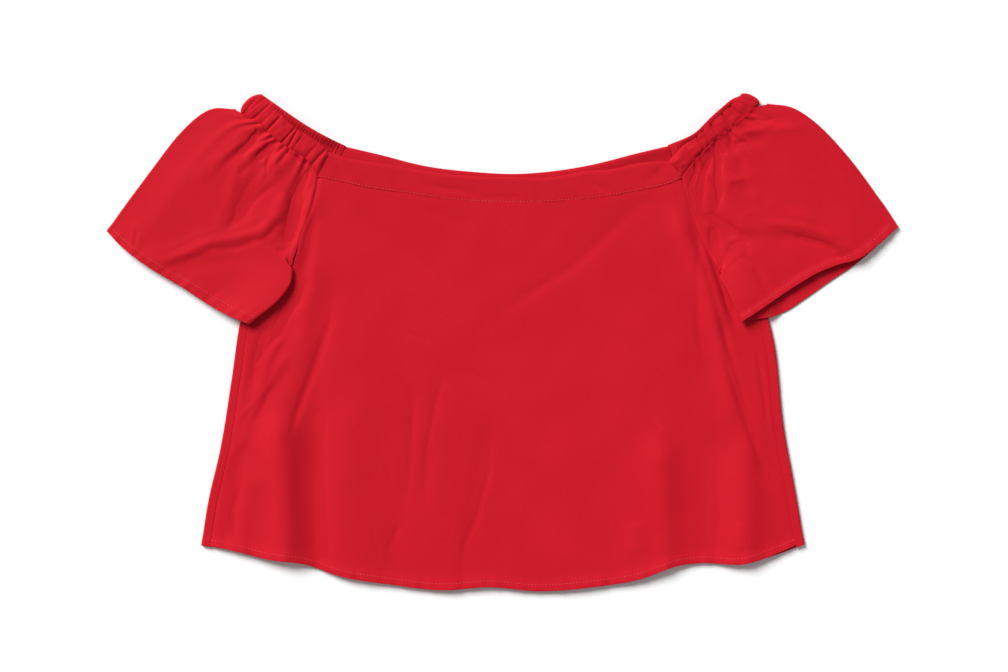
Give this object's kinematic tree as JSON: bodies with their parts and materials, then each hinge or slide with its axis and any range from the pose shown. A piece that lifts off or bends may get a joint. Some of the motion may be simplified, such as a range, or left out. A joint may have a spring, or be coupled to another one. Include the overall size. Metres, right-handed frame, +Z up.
{
  "type": "off-shoulder top",
  "caption": "Off-shoulder top laid flat: A-line body, flat neck band, elastic shoulder casings and short flared sleeves.",
  "frame": {"origin": "middle of the garment's outline, on the surface that it lies on", "axes": "+X towards the sleeve on the right of the picture, +Y towards the neck, +Z up from the surface, out of the front of the top"},
  "size_m": [0.7132, 0.448, 0.0108],
  "materials": {
    "front_cloth": "matt red viscose crepe",
    "back_cloth": "matt red viscose crepe",
    "sleeve_cloth": "matt red viscose crepe",
    "band_cloth": "matt red viscose crepe, doubled",
    "casing_cloth": "matt red viscose crepe, scrunched over elastic"
  },
  "bodies": {
    "root": {"front_panel": "front_cloth", "back_panel": "back_cloth", "sleeve_left": "sleeve_cloth", "sleeve_right": "sleeve_cloth", "neck_band_front": "band_cloth", "neck_band_back": "band_cloth", "sleeve_casing_left": "casing_cloth", "sleeve_casing_right": "casing_cloth"}
  },
  "joints": []
}
